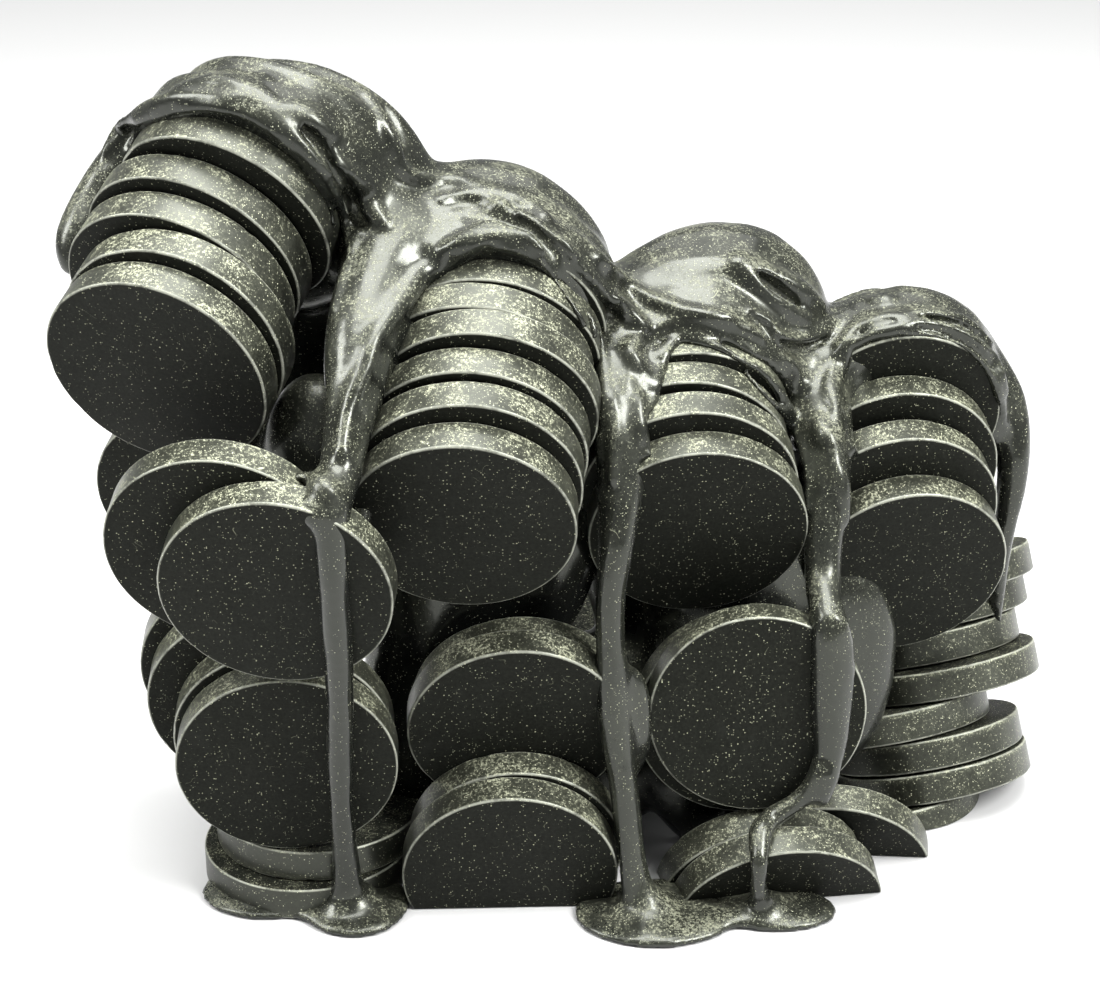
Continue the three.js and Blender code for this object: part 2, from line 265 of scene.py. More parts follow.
def ferrite_material(name, face):
    mat = bpy.data.materials.new(name)
    nt = NT(mat)
    pos, nz, geo = geometry_inputs(nt)
    att = nt.n('ShaderNodeAttribute', attribute_name='edge')
    rear = nt.n('ShaderNodeAttribute', attribute_name='rear')
    film, haze, grains, patch, grain2 = dust_masks(nt, pos, nz, rear.outputs['Fac'])
    # sintered body: fine mottling, faint scuffs and grinding marks
    scuff = nt.noise(pos, 95.0, 5.0, 0.65)
    base = nt.mixc(nt.ramp(grain2, 0.35, 0.7), (0.0038, 0.0042, 0.0033), (0.0095, 0.0102, 0.0080))
    base = nt.mixc(nt.ramp(scuff, 0.55, 0.75, 0.0, 0.5), base, (0.015, 0.016, 0.014))
    # corner between face and rim painted light grey: partly real wear, partly a painted highlight of the rounded edge
    worn_edge_and_painted_highlight = nt.math('MULTIPLY', att.outputs['Fac'], nt.ramp(nt.noise(pos, 420.0, 4.0, 0.7), 0.30, 0.58, 0.25, 1.0))
    base = nt.mixc(nt.math('MULTIPLY', worn_edge_and_painted_highlight, 0.55), base, (0.42, 0.43, 0.36))
    col = nt.mixc(nt.math('MULTIPLY', haze, 0.05 if face else 0.26), base, DUST_DARK)
    col = nt.mixc(nt.math('MULTIPLY', film, 0.26 if face else 0.62), col, DUST)
    col = nt.mixc(nt.math('MULTIPLY', grains, 0.80 if face else 0.95), col, DUST)
    dusty = nt.math('MAXIMUM', film, grains)
    if face:
        rough = nt.ramp(scuff, 0.3, 0.75, 0.50, 0.64)
    else:
        rough = nt.ramp(scuff, 0.3, 0.75, 0.29, 0.41)
    rough = nt.math('ADD', rough, nt.math('MULTIPLY', dusty, 0.35), clamp=True)
    bsdf = nt.n('ShaderNodeBsdfPrincipled')
    nt.link(col, bsdf.inputs['Base Color'])
    nt.link(rough, bsdf.inputs['Roughness'])
    bsdf.inputs['Specular IOR Level'].default_value = 0.10 if face else 0.62
    bsdf.inputs['Specular Tint'].default_value = (0.96, 1.0, 0.86, 1.0)
    h = nt.math('MULTIPLY', grain2, 0.35)
    h = nt.math('ADD', h, nt.math('MULTIPLY', scuff, 0.5))
    h = nt.math('ADD', h, nt.math('MULTIPLY', dusty, 0.9))
    bump = nt.n('ShaderNodeBump')
    bump.inputs['Strength'].default_value = 0.35
    bump.inputs['Distance'].default_value = 0.00006
    nt.link(h, bump.inputs['Height'])
    nt.link(bump.outputs[0], bsdf.inputs['Normal'])
    out = nt.n('ShaderNodeOutputMaterial')
    nt.link(bsdf.outputs[0], out.inputs[0])
    return mat


def pour_material():
    mat = bpy.data.materials.new("glossy_black_pour")
    nt = NT(mat)
    pos, nz, geo = geometry_inputs(nt)
    cre = nt.n('ShaderNodeAttribute', attribute_name='crease')
    film, haze, grains, patch, grain2 = dust_masks(nt, pos, nz, cre.outputs['Fac'])
    flow = nt.noise(pos, 130.0, 3.0, 0.5, 0.8)
    ripple = nt.noise(pos, 420.0, 2.0, 0.5, 0.5)
    base = nt.mixc(flow, (0.0030, 0.0034, 0.0030), (0.0070, 0.0076, 0.0068))
    col = nt.mixc(nt.math('MULTIPLY', haze, 0.16), base, DUST_DARK)
    col = nt.mixc(nt.math('MULTIPLY', film, 0.30), col, DUST)
    col = nt.mixc(nt.math('MULTIPLY', grains, 0.62), col, DUST)
    dusty = nt.math('MULTIPLY', nt.math('MAXIMUM', film, grains), 0.8)
    rough = nt.ramp(flow, 0.3, 0.7, 0.17, 0.29)
    rough = nt.math('ADD', rough, nt.math('MULTIPLY', haze, 0.10))
    rough = nt.math('ADD', rough, nt.math('MULTIPLY', dusty, 0.40), clamp=True)
    bsdf = nt.n('ShaderNodeBsdfPrincipled')
    nt.link(col, bsdf.inputs['Base Color'])
    nt.link(rough, bsdf.inputs['Roughness'])
    bsdf.inputs['Specular IOR Level'].default_value = 0.46
    bsdf.inputs['Specular Tint'].default_value = (0.96, 1.0, 0.87, 1.0)
    bsdf.inputs['Coat Weight'].default_value = 0.14
    bsdf.inputs['Coat Roughness'].default_value = 0.10
    h = nt.math('ADD', nt.math('MULTIPLY', flow, 1.2), nt.math('MULTIPLY', ripple, 0.7))
    h = nt.math('ADD', h, nt.math('MULTIPLY', dusty, 0.5))
    bump = nt.n('ShaderNodeBump')
    bump.inputs['Strength'].default_value = 0.45
    bump.inputs['Distance'].default_value = 0.00015
    nt.link(h, bump.inputs['Height'])
    nt.link(bump.outputs[0], bsdf.inputs['Normal'])
    out = nt.n('ShaderNodeOutputMaterial')
    nt.link(bsdf.outputs[0], out.inputs[0])
    return mat


MAT_FACE = ferrite_material("ferrite_pressed_face", True)
MAT_RIM = ferrite_material("ferrite_ground_rim", False)
MAT_POUR = pour_material()


# ------------------------------------------------------------------ discs
def disc_mesh(name, row, seed):
    rng = np.random.default_rng(seed)
    seg = 144
    e = 0.24 + 0.06 * rng.random()            # corner radius
    prof = [(0.0, 0.0, 0.0)]
    for r in (4.0, 8.0, R - e - 0.12):
        prof.append((r, 0.0, 0.0))
    for k in range(7):
        a = math.pi / 2 * k / 6
        prof.append((R - e + e * math.sin(a), -e + e * math.cos(a), (0.0, 0.5, 1.0, 1.0, 1.0, 0.5, 0.0)[k]))
    for z in (-e - 0.12, -T * 0.35, -T + e + 0.9, -T + e + 0.12):
        prof.append((R, z, 0.0))
    for k in range(7):
        a = math.pi / 2 * k / 6
        prof.append((R - e + e * math.cos(a), -T + e - e * math.sin(a), (0.0, 0.5, 1.0, 1.0, 1.0, 0.5, 0.0)[k]))
    for r in (R - e - 0.12, 8.0, 4.0):
        prof.append((r, -T, 0.0))
    prof.append((0.0, -T, 0.0))
    a, b, n = basis(row)
    c = np.array(row[1:4])
    verts, edge, rear = [], [], []
    th = np.linspace(0, 2 * math.pi, seg, endpoint=False)
    # slight handling dents along both corners
    dents = np.zeros(seg)
    for _ in range(7):
        t0 = rng.random() * 2 * math.pi
        w = 0.02 + 0.05 * rng.random()
        d = np.angle(np.exp(1j * (th - t0)))
        dents += (0.03 + 0.07 * rng.random()) * np.exp(-(d / w) ** 2)
    wob = 0.012 * np.sin(3 * th + rng.random() * 6) + 0.010 * np.sin(7 * th + rng.random() * 6)
    faces, kinds = [], []
    ring = []
    for (r, z, ed) in prof:
        if r == 0.0:
            ring.append([len(verts)])
            p = c + n * z
            verts.append(((p[0] - CX) * MM, (p[1] - CY) * MM, p[2] * MM))
            edge.append(ed)
            rear.append(0.0)
            continue
        ids = []
        for i in range(seg):
            rr = r - (dents[i] * ed + wob[i] + 0.022) * (1.0 if r > R - 1.2 else 0.0)
            zz = z
            if ed > 0:
                zz = z - math.copysign(dents[i] * 0.6, z + T / 2)
            p = c + n * zz + a * (rr * math.cos(th[i])) + b * (rr * math.sin(th[i]))
            ids.append(len(verts))
            verts.append(((p[0] - CX) * MM, (p[1] - CY) * MM, p[2] * MM))
            edge.append(ed)
            rear.append(0.8 if (z < -T + e + 0.5 and r > R - 1.2) else 0.0)
        ring.append(ids)
    for k in range(len(ring) - 1):
        p, q = ring[k], ring[k + 1]
        flat = abs(prof[k + 1][0] - prof[k][0]) > abs(prof[k + 1][1] - prof[k][1]) * 2.0
        for i in range(seg):
            j = (i + 1) % seg
            kinds.append(0 if flat else 1)
            if len(p) == 1:
                faces.append((p[0], q[i], q[j]))
            elif len(q) == 1:
                faces.append((p[i], q[0], p[j]))
            else:
                faces.append((p[i], q[i], q[j], p[j]))
    me = bpy.data.meshes.new(name)
    me.from_pydata(verts, [], faces)
    at = me.attributes.new("edge", 'FLOAT', 'POINT')
    at.data.foreach_set("value", edge)
    at = me.attributes.new("rear", 'FLOAT', 'POINT')
    at.data.foreach_set("value", rear)
    me.polygons.foreach_set("material_index", kinds)
    me.update()
    lowest = min(v[2] for v in verts)
    if lowest < -1e-6:
        bm = bmesh.new()
        bm.from_mesh(me)
        res = bmesh.ops.bisect_plane(bm, geom=bm.verts[:] + bm.edges[:] + bm.faces[:], dist=1e-7,
                                     plane_co=(0, 0, 0), plane_no=(0, 0, 1), clear_inner=True)
        cut = [g for g in res['geom_cut'] if isinstance(g, bmesh.types.BMEdge)]
        bmesh.ops.edgeloop_fill(bm, edges=cut)
        bmesh.ops.recalc_face_normals(bm, faces=bm.faces[:])
        for v in bm.verts:
            v.co.z = max(v.co.z, 0.0)
        bm.to_mesh(me)
        bm.free()
    for p in me.polygons:
        p.use_smooth = True
    return me


made = {}
for i, row in enumerate(DISCS):
    name = row[0]
    me = disc_mesh("fine_" + name, row, 100 + i)
    ob = bpy.data.objects.new("fine_" + name, me)
    bpy.context.scene.collection.objects.link(ob)
    me.materials.append(MAT_FACE)
    me.materials.append(MAT_RIM)
    me.set_sharp_from_angle(angle=math.radians(50))
    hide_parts(name)
    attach(ob, BODY[name])
    made[name] = ob


# ------------------------------------------------------------------ the pour as an implicit solid
VOX = 0.42
LO = np.array([-59.0, -20.0, -2.0])
HI = np.array([64.5, 52.0, 99.0])
DIM = np.ceil((HI - LO) / VOX).astype(int) + 1
F = np.full(tuple(DIM), 6.0, np.float32)


def block(lo, hi):
    i0 = np.maximum(np.floor((np.array(lo) - LO) / VOX).astype(int), 0)
    i1 = np.minimum(np.ceil((np.array(hi) - LO) / VOX).astype(int) + 1, DIM)
    i1 = np.maximum(i1, i0)
    ax = [LO[k] + VOX * np.arange(i0[k], i1[k]) for k in range(3)]
    X, Y, Z = np.meshgrid(*ax, indexing='ij', sparse=True)
    return (slice(i0[0], i1[0]), slice(i0[1], i1[1]), slice(i0[2], i1[2])), X, Y, Z


def smin(a, b, k):
    h = np.maximum(k - np.abs(a - b), 0.0) / k
    return np.minimum(a, b) - h * h * k * 0.25


def smax(a, b, k):
    return -smin(-a, -b, k)


def add(lo, hi, fn, k):
    sl, X, Y, Z = block(np.array(lo) - 3.0, np.array(hi) + 3.0)
    F[sl] = smin(F[sl], fn(X, Y, Z).astype(np.float32), k)


def sd_disc(X, Y, Z, row, grow=0.0):
    a, b, n = basis(row)
    c = np.array(row[1:4]) - n * (T / 2)
    dx, dy, dz = X - c[0], Y - c[1], Z - c[2]
    h = dx * n[0] + dy * n[1] + dz * n[2]
    r = np.sqrt(np.maximum(dx * dx + dy * dy + dz * dz - h * h, 0.0))
    qx = r - R
    qy = np.abs(h) - T / 2
    return (np.minimum(np.maximum(qx, qy), 0.0)
            + np.sqrt(np.maximum(qx, 0) ** 2 + np.maximum(qy, 0) ** 2)) - grow


def skin(row, grow, k, front=None, lip=1.0, side=None):
    """a coat of the pour over one disc; front = row whose face plane bounds the lip"""
    c = np.array(row[1:4])

    def fn(X, Y, Z):
        d = sd_disc(X, Y, Z, row, grow)
        if front is not None:
            n = n_of(front[4], front[5])
            fc = np.array(front[1:4]) + n * lip
            h = (X - fc[0]) * n[0] + (Y - fc[1]) * n[1] + (Z - fc[2]) * n[2]
            d = smax(d, h, 0.8)
        if side is not None:
            for (px, py, pz, nx, ny, nz) in side:
                h = (X - px) * nx + (Y - py) * ny + (Z - pz) * nz
                d = smax(d, h, 1.6)
        return d
    add(c - 18, c + 18, fn, k)


def ellipsoid(cx, cy, cz, rx, ry, rz, k=4.0):
    def fn(X, Y, Z):
        x, y, z = (X - cx) / rx, (Y - cy) / ry, (Z - cz) / rz
        k0 = np.sqrt(x * x + y * y + z * z) + 1e-6
        k1 = np.sqrt((x / rx) ** 2 + (y / ry) ** 2 + (z / rz) ** 2) + 1e-6
        return k0 * (k0 - 1.0) / k1
    add((cx - rx, cy - ry, cz - rz), (cx + rx, cy + ry, cz + rz), fn, k)


def smooth_points(points, sub):
    P = np.array(points, float)
    pts = []
    m = len(P)
    for i in range(m - 1):
        p0, p1, p2, p3 = P[max(i - 1, 0)], P[i], P[i + 1], P[min(i + 2, m - 1)]
        for t in np.linspace(0, 1, sub, endpoint=False):
            pts.append(0.5 * ((2 * p1) + (-p0 + p2) * t + (2 * p0 - 5 * p1 + 4 * p2 - p3) * t * t
                              + (-p0 + 3 * p1 - 3 * p2 + p3) * t ** 3))
    pts.append(P[-1])
    return np.array(pts)


def tube_field(Q, reach=4.0):
    lo = (Q[:, :3] - Q[:, 3:4]).min(0)
    hi = (Q[:, :3] + Q[:, 3:4]).max(0)
    sl, X, Y, Z = block(lo - reach, hi + reach)
    d = np.full(F[sl].shape, 6.0, np.float32)
    for i in range(len(Q) - 1):
        a, b = Q[i], Q[i + 1]
        blo = np.minimum(a[:3] - a[3], b[:3] - b[3]) - reach
        bhi = np.maximum(a[:3] + a[3], b[:3] + b[3]) + reach
        s2, X2, Y2, Z2 = block(blo, bhi)
        ab = b[:3] - a[:3]
        L2 = float(ab @ ab) + 1e-9
        t = np.clip(((X2 - a[0]) * ab[0] + (Y2 - a[1]) * ab[1] + (Z2 - a[2]) * ab[2]) / L2, 0, 1)
        dd = np.sqrt((X2 - a[0] - t * ab[0]) ** 2 + (Y2 - a[1] - t * ab[1]) ** 2 + (Z2 - a[2] - t * ab[2]) ** 2)
        dd = dd - (a[3] + t * (b[3] - a[3]))
        loc = tuple(slice(s2[q].start - sl[q].start, s2[q].stop - sl[q].start) for q in range(3))
        d[loc] = np.minimum(d[loc], dd.astype(np.float32))
    return sl, d


def run(points, k=2.0):
    """round-section run through (x, y, z, radius) points"""
    sl, d = tube_field(smooth_points(points, 6))
    F[sl] = smin(F[sl], d, k)


def moved(row, da, db, dn, name="v"):
    a, b, n = basis(row)
    c = np.array(row[1:4]) + a * da + b * db + n * dn
    return (name, c[0], c[1], c[2], row[4], row[5])


def D(col, k):
    return BY["column_%s_disc_%d" % (col, k)]


# lines of sight of the front view, used to lay thin runs on the surface
_t = math.radians(CAM_PITCH)
VF = np.array([0.0, math.cos(_t), -math.sin(_t)])
VU = np.array([0.0, math.sin(_t), math.cos(_t)])
VR = np.array([1.0, 0.0, 0.0])
VP = np.array(CAM)


def sight(u, v, y):
    """point at depth y on the line of sight through (u, v)"""
    d = VF + VR * (u - 550.0) / FOCAL_PX + VU * (499.5 - v) / FOCAL_PX
    return VP + d * ((y - VP[1]) / d[1])


def sample(G, P):
    q = (P - LO) / VOX
    q = np.clip(q, 0, np.array(G.shape) - 1.001)
    i = q.astype(int)
    f = q - i
    out = 0
    for a in (0, 1):
        for b in (0, 1):
            for c in (0, 1):
                w = (f[..., 0] if a else 1 - f[..., 0]) * (f[..., 1] if b else 1 - f[..., 1]) * (f[..., 2] if c else 1 - f[..., 2])
                out = out + w * G[i[..., 0] + a, i[..., 1] + b, i[..., 2] + c]
    return out


def landing(G, uv):
    """first surface of G met along each line of sight; y is -999 where there is none"""
    s = np.arange(-19.5, 51.5, 0.25)
    P = np.array([[sight(u, v, y) for y in s] for (u, v) in uv])
    g = sample(G, P)
    out = []
    for i in range(len(uv)):
        hit = np.nonzero(g[i] < 0)[0]
        if len(hit) == 0:
            out.append((0, -999, 0))
            continue
        h = hit[0]
        if h == 0:
            out.append(tuple(P[i, 0]))
            continue
        t = g[i, h - 1] / (g[i, h - 1] - g[i, h])
        out.append(tuple(P[i, h - 1] + t * (P[i, h] - P[i, h - 1])))
    return np.array(out)


def laid(points, G, soften=2):
    """(u, v, radius) points dropped onto the surface of G"""
    Q = smooth_points(points, 5)
    L = landing(G, Q[:, :2])
    ok = L[:, 1] > -900
    Q, L = Q[ok], L[ok]
    if len(Q) < 2:
        return None
    y = L[:, 1].copy()
    for _ in range(soften):
        y[1:-1] = np.minimum(y[1:-1], 0.25 * y[:-2] + 0.5 * y[1:-1] + 0.25 * y[2:])
    return np.array([(*sight(q[0], q[1], yy), q[2]) for q, yy in zip(Q, y)])


def ridge(points, k=0.9, grow=1.12, lift=0.12):
    q = laid(points, G0)
    if q is None:
        return
    q[:, 3] *= grow
    q[:, 1] -= lift
    q[:, 2] += 0.10
    sl, d = tube_field(q, 3.0)
    F[sl] = smin(F[sl], d, k)


def groove(points, k=0.9):
    q = laid(points, G0)
    if q is None:
        return
    sl, d = tube_field(q, 3.0)
    F[sl] = smax(F[sl], -d, k)


P = 3.97
# left column mantle
A3, A4, A5, A6 = D('a', 3), D('a', 4), D('a', 5), D('a', 6)
run([(*sight(70, 262, 12.0), 1.0), (*sight(74, 246, 13.0), 1.9), (*sight(81, 225, 14.6), 2.1), (*sight(92, 202, 16.4), 2.1),
     (*sight(105, 180, 18.0), 2.1), (*sight(119, 159, 19.5), 2.1), (*sight(133, 139, 20.5), 2.0)], 2.0)
skin(A6, 1.1, 1.4, front=A6, lip=0.7, side=[(A6[1], A6[2], A6[3] - 4.0, 0.30, -0.1, -0.95)])
A7 = moved(A6, 1.4, -1.6, -P)
skin(A7, 1.4, 2.2)
A8 = moved(A7, 1.2, -4.0, -P)
skin(A8, 1.4, 3.0)
ellipsoid(-30.0, 20.5, 79.5, 12.0, 8.5, 11.8, 4.0)
run([(*sight(84, 262, 13.5), 1.4), (*sight(92, 244, 14.6), 2.2), (*sight(100, 224, 16.0), 2.4), (*sight(112, 202, 17.6), 2.4),
     (*sight(124, 182, 19.0), 2.4), (*sight(138, 162, 20.4), 2.4)], 3.0)
# second column mantle
B5, B6, B7 = D('b', 5), D('b', 6), D('b', 7)
skin(B7, 1.3, 1.4, front=B7, lip=0.7, side=[(B7[1], B7[2], B7[3] + 2.0, 0.0, -0.2, -0.98)])
B8 = moved(B7, -0.8, -0.8, -P)
skin(B8, 1.6, 2.4)
B9 = moved(B8, -1.0, -1.2, -P)
skin(B9, 1.4, 3.0)
ellipsoid(-7.5, 23.5, 71.6, 12.5, 8.5, 12.6, 4.0)
# third column mantle
C3, C4, C5, C6 = D('c', 3), D('c', 4), D('c', 5), D('c', 6)
skin(C5, 1.5, 1.6, front=C5, lip=1.0, side=[(C5[1], C5[2], C5[3] + 1.0, 0.0, -0.2, -0.98)])
skin(C6, 2.2, 2.4)
C7 = moved(C6, 2.2, 1.2, -P)
skin(C7, 2.2, 3.0)
ellipsoid(20.5, 31.5, 61.9, 13.0, 8.5, 13.2, 4.0)
# fourth column mantle
D4, D5, D6 = D('d', 4), D('d', 5), D('d', 6)
skin(D4, 0.9, 1.0, front=D4, lip=-0.6, side=[(D4[1], D4[2], D4[3] - 3.0, 0.0, -0.2, -0.98)])
skin(D5, 0.9, 1.4, front=D4, lip=-0.9)
skin(moved(D5, 0.4, 0.0, -2.0), 0.7, 1.8, front=D4, lip=-1.5)
skin(D6, 0.6, 2.4)
skin(moved(D6, 0.6, -2.2, -P), 0.6, 3.0)
ellipsoid(45.0, 38.0, 49.0, 13.0, 8.0, 11.6, 4.0)
# saddles
ellipsoid(-16.5, 17.0, 75.0, 6.5, 8.0, 8.0, 5.0)
ellipsoid(7.0, 22.5, 61.2, 6.5, 8.0, 8.0, 5.0)
ellipsoid(32.0, 30.5, 54.0, 6.5, 8.0, 8.0, 5.0)
# webs and front runs
run([(-17.5, 14.0, 78.0, 4.6), (-19.2, 8.0, 73.5, 4.5), (-20.4, 1.5, 69.0, 3.9), (-21.2, -3.0, 64.0, 3.0),
     (-21.9, -8.0, 59.4, 2.3), (-22.8, -12.6, 55.6, 2.0), (-22.9, -12.9, 50.0, 1.75), (-22.8, -11.9, 45.0, 1.65),
     (-22.9, -10.2, 38.0, 1.7), (-23.2, -8.3, 31.5, 1.65), (-23.6, -6.0, 24.0, 1.55), (-23.8, -4.4, 17.0, 1.5),
     (-23.9, -3.0, 10.0, 1.5), (-23.9, -1.9, 4.5, 1.9), (-23.7, -1.2, 1.0, 3.0)], 2.4)
run([(-26.4, -13.4, 56.4, 1.1), (-24.2, -13.6, 56.0, 1.5)], 1.8)
run([(-15.5, 10.5, 71.0, 3.2), (-18.0, 4.5, 64.5, 2.6), (-19.4, 0.0, 58.0, 1.8), (-20.4, -4.0, 52.0, 1.2),
     (-21.4, -8.0, 46.0, 0.9)], 2.6)
run([(7.0, 21.0, 66.0, 4.2), (7.6, 13.5, 62.5, 3.6), (8.0, 8.5, 57.5, 3.0), (7.9, 5.6, 51.5, 2.6),
     (7.5, 3.4, 45.0, 2.2), (6.9, 2.4, 38.5, 1.75), (7.1, 1.6, 30.0, 1.6), (7.7, 0.8, 22.4, 1.7),
     (8.7, -0.4, 15.0, 1.6), (9.4, -1.4, 9.0, 1.6), (10.2, -1.9, 4.0, 2.0), (11.5, -2.0, 1.0, 2.8)], 2.4)
ellipsoid(9.6, 2.4, 23.0, 2.2, 1.2, 7.0, 2.0)
run([(31.8, 29.0, 58.5, 4.0), (32.2, 21.0, 55.5, 3.4), (32.2, 15.5, 51.5, 2.9), (31.9, 11.5, 45.0, 2.4),
     (31.6, 8.4, 39.0, 2.1), (31.6, 3.4, 35.4, 1.8), (31.8, 2.4, 31.0, 1.5), (32.2, 2.2, 26.0, 1.3),
     (32.4, 1.8, 20.0, 1.2), (32.2, 0.8, 15.5, 1.0), (32.0, 0.9, 13.6, 0.7)], 2.2)
ellipsoid(32.9, 2.8, 27.0, 2.5, 1.3, 9.0, 2.5)
run([(31.6, 1.0, 17.0, 1.1), (29.0, 1.0, 13.4, 1.1), (26.0, 0.6, 11.4, 1.2), (24.5, -1.6, 10.6, 1.3),
     (24.2, -4.4, 8.6, 1.2), (24.2, -4.5, 5.6, 1.1), (24.8, -3.2, 2.6, 1.4), (25.6, -2.2, 0.8, 2.0)], 2.0)
run([(52.5, 37.0, 56.5, 2.6), (56.4, 34.0, 52.5, 2.2), (57.8, 32.0, 47.0, 2.0), (57.8, 31.0, 41.0, 1.7),
     (57.2, 30.6, 36.0, 1.3), (57.2, 31.0, 31.0, 1.0), (57.4, 32.0, 27.0, 0.8), (57.5, 33.0, 22.0, 0.7)], 2.2)
# rear skirt and rear runs
ellipsoid(-28.0, 28.0, 66.0, 10.0, 4.0, 14.0, 6.0)
ellipsoid(-5.0, 30.0, 56.0, 11.5, 4.0, 16.0, 6.0)
ellipsoid(20.0, 38.0, 49.0, 11.5, 4.0, 15.0, 6.0)
ellipsoid(43.5, 43.0, 43.5, 10.0, 4.0, 12.0, 6.0)
run([(-19.0, 27.0, 68.0, 3.0), (-18.0, 31.0, 56.0, 2.4), (-17.4, 31.8, 40.0, 1.8), (-17.6, 31.0, 20.0, 1.5),
     (-17.2, 30.6, 5.0, 1.8), (-17.2, 30.5, 1.0, 2.8)], 3.0)
run([(26.0, 38.0, 50.0, 2.6), (24.6, 40.5, 40.0, 2.0), (24.4, 40.2, 24.0, 1.5), (24.8, 39.8, 5.0, 1.7),
     (24.8, 39.6, 1.0, 2.6)], 3.0)
# fill between the stacks
ellipsoid(-9.0, 14.0, 42.0, 15.0, 6.0, 18.5, 3.0)
ellipsoid(18.0, 21.0, 36.0, 14.0, 6.0, 17.5, 3.0)
ellipsoid(-34.0, 15.5, 44.0, 8.5, 5.5, 16.5, 3.0)
ellipsoid(-26.0, 8.0, 52.0, 7.0, 6.0, 12.0, 3.0)
ellipsoid(-14.0, 15.0, 20.0, 9.0, 5.0, 20.0, 3.0)
ellipsoid(5.0, 18.5, 13.0, 12.0, 4.5, 14.0, 3.0)
ellipsoid(18.5, 15.5, 15.0, 7.5, 5.0, 15.5, 3.0)
ellipsoid(33.0, 21.0, 22.0, 10.0, 4.5, 16.0, 3.0)
# pools
for (x, y, rx, ry, h) in ((-23.2, -0.4, 6.6, 6.8, 1.65), (12.4, -2.1, 9.8, 7.1, 1.65), (27.0, -1.6, 6.9, 4.5, 1.3),
                          (-33.5, 2.5, 8.4, 5.9, 1.3), (-17.2, 30.5, 5.9, 5.3, 1.6), (24.8, 39.6, 6.3, 5.1, 1.6)):
    ellipsoid(x, y, 0.25, rx, ry, h - 0.25, 2.2)

# discs as a field of their own, so that thin runs can lie on them
FD = np.full(tuple(DIM), 6.0, np.float32)
for row in DISCS:
    c = np.array(row[1:4])
    sl, X, Y, Z = block(c - 17, c + 17)
    FD[sl] = np.minimum(FD[sl], sd_disc(X, Y, Z, row).astype(np.float32))
G0 = np.minimum(F, FD)

# lips and folds of the left mantle
ridge([(106, 152, .5), (114, 134, .6), (130, 118, .65), (165, 102, .7), (200, 98, .7), (240, 103, .7), (264, 114, .7),
       (288, 132, .7), (308, 153, .65), (325, 176, .6), (340, 202, .55), (347, 228, .5), (350, 250, .45)])
ridge([(112, 146, .4), (128, 130, .5), (150, 118, .5), (200, 108, .5), (240, 113, .5), (268, 127, .5),
       (292, 150, .5), (312, 174, .45), (328, 202, .4), (334, 228, .35)], 0.7)
ridge([(178, 92, .4), (215, 84, .8), (245, 92, .8), (272, 106, .7), (300, 124, .5)], 1.3)
ridge([(296, 112, .5), (312, 122, 1.0), (325, 133, .6)], 1.6)
ridge([(328, 158, .5), (341, 170, 1.0), (352, 180, .5)], 1.4)
ridge([(345, 176, .5), (360, 184, .9), (374, 194, .4)], 1.2)
ridge([(352, 196, .5), (368, 208, 1.0), (382, 222, .5)], 1.0)
ridge([(356, 204, .3), (360, 228, .4), (352, 250, .4), (342, 280, .4), (334, 310, .35)], 0.7)
ridge([(366, 96, .4), (383, 122, .7), (395, 148, .7), (402, 168, .7), (416, 178, .65), (445, 181, .4)], 1.0)
groove([(268, 100, .3), (290, 116, .6), (312, 140, .8), (332, 168, .8), (348, 192, .8), (362, 224, .5)], 1.0)
groove([(385, 108, .3), (398, 130, .5), (408, 156, .6), (420, 168, .4)], 1.2)
# second mantle: double lip on the arch and the dark fold behind it
ridge([(404, 304, .5), (414, 284, .6), (430, 268, .6), (446, 252, .7), (462, 241, .7), (480, 231, .8), (494, 226, .8),
       (515, 231, .6), (530, 240, .5)])
ridge([(440, 272, .6), (460, 256, .75), (475, 245, .8), (490, 237, .8), (510, 237, .7), (530, 240, .7), (546, 254, .6),
       (562, 270, .6), (577, 288, .6), (588, 308, .55), (594, 335, .45)])
ridge([(495, 247, .35), (520, 253, .4), (545, 268, .4), (556, 282, .35), (570, 302, .35), (584, 326, .3)], 0.6)
ridge([(430, 270, .6), (416, 280, .8), (402, 300, .8), (388, 320, .8), (374, 342, .8), (366, 368, .75), (354, 394, .7),
       (346, 420, .6), (342, 452, .5)], 1.4)
ridge([(450, 178, .5), (482, 190, .7), (512, 199, .8), (532, 207, .7), (546, 220, .5)], 1.4)
ridge([(518, 214, .4), (532, 226, .8), (546, 237, .6)], 0.9)
ridge([(548, 236, .4), (562, 246, .8), (572, 256, .5)], 1.0)
ridge([(440, 200, .4), (470, 196, .6), (500, 206, .6)], 1.2)
groove([(534, 232, .5), (560, 258, .9), (584, 288, 1.1), (600, 308, 1.1), (614, 318, .6)], 1.0)
groove([(470, 212, .3), (500, 218, .6), (525, 226, .6)], 1.2)
ridge([(598, 258, .5), (622, 279, .7), (650, 298, .7), (690, 312, .5), (730, 318, .3)], 1.3)
# web between the second and third columns
ridge([(616, 300, .8), (632, 316, 1.0), (642, 326, .7)], 1.0)
ridge([(636, 340, .5), (630, 352, .9), (638, 366, .7)], 0.9)
ridge([(600, 330, .4), (604, 370, .5), (606, 400, .55), (604, 420, .45), (600, 460, .35)], 0.7)
ridge([(612, 400, .4), (614, 440, .6), (612, 480, .5)], 0.8)
ridge([(640, 400, .4), (640, 424, .6), (643, 440, .6), (648, 456, .4)], 0.8)
ridge([(662, 350, .5), (652, 366, .8), (646, 384, .8), (652, 400, .5)], 1.0)
ridge([(672, 344, .4), (660, 368, .55), (655, 392, .5), (648, 410, .4)], 0.8)
